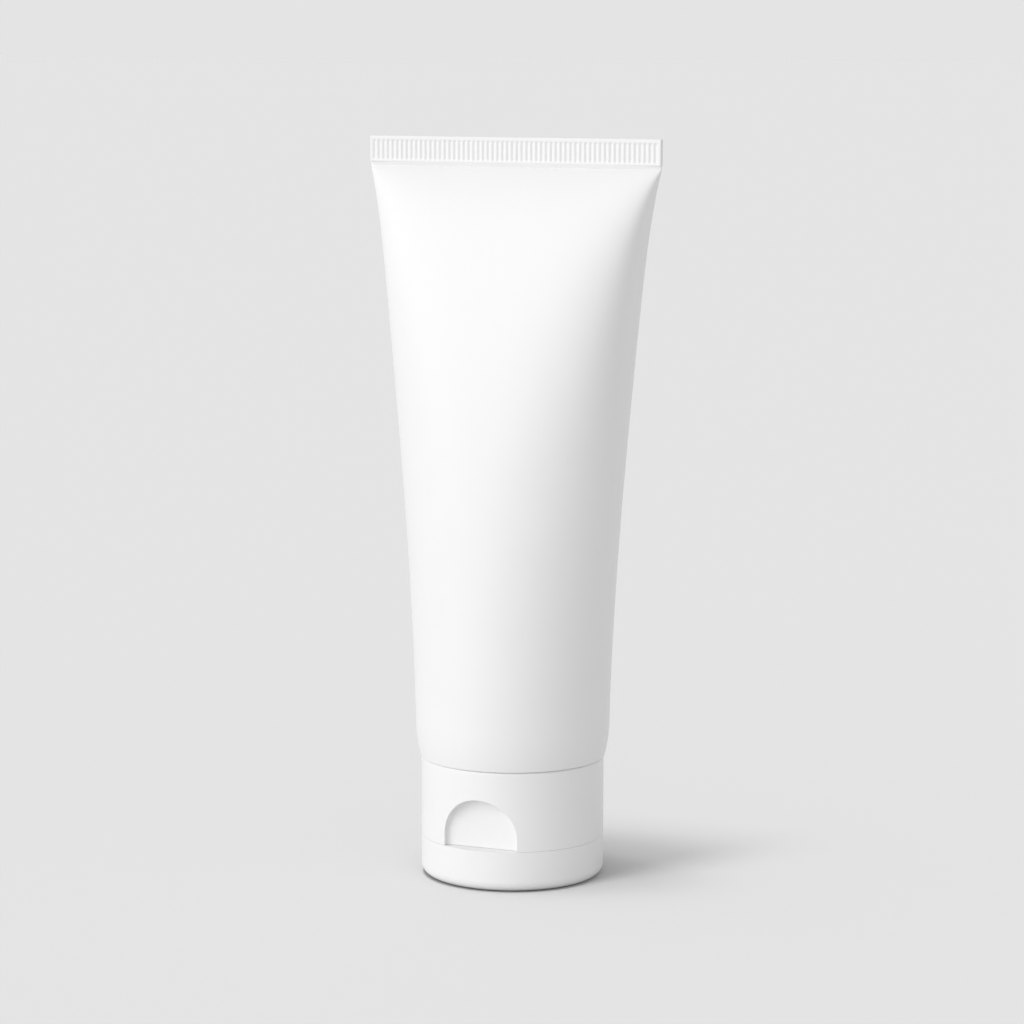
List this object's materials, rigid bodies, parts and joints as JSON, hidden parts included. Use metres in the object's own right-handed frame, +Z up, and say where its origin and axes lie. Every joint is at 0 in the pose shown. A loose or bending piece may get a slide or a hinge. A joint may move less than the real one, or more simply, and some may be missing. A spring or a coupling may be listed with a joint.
{
  "type": "sunscreen tube",
  "caption": "Soft plastic squeeze tube, round at the flip-top cap it stands on and pressed flat into a ribbed end seam at the top.",
  "frame": {"origin": "centre of the cap's flat underside, on which the tube stands", "axes": "+Z up the tube to the end seam, +X along the end seam, -Y the face with the thumb recess, +Y the side with the lid's hinge"},
  "size_m": [0.064, 0.0404, 0.153],
  "materials": {
    "sleeve_plastic": "satin",
    "head_plastic": "satin",
    "cap_plastic": "satin",
    "cream": "satin"
  },
  "bodies": {
    "tube": {"tube_sleeve": "sleeve_plastic", "tube_head": "head_plastic", "sunscreen_fill": "cream", "cap_base": "cap_plastic"},
    "lid": {"flip_lid": "cap_plastic"}
  },
  "joints": [
    {"name": "lid_hinge", "type": "hinge", "parent": "tube", "child": "lid", "pos_m": [0, 0.0193, 0.00848], "axis": [1, 0, 0], "range_deg": [0, 160]}
  ]
}
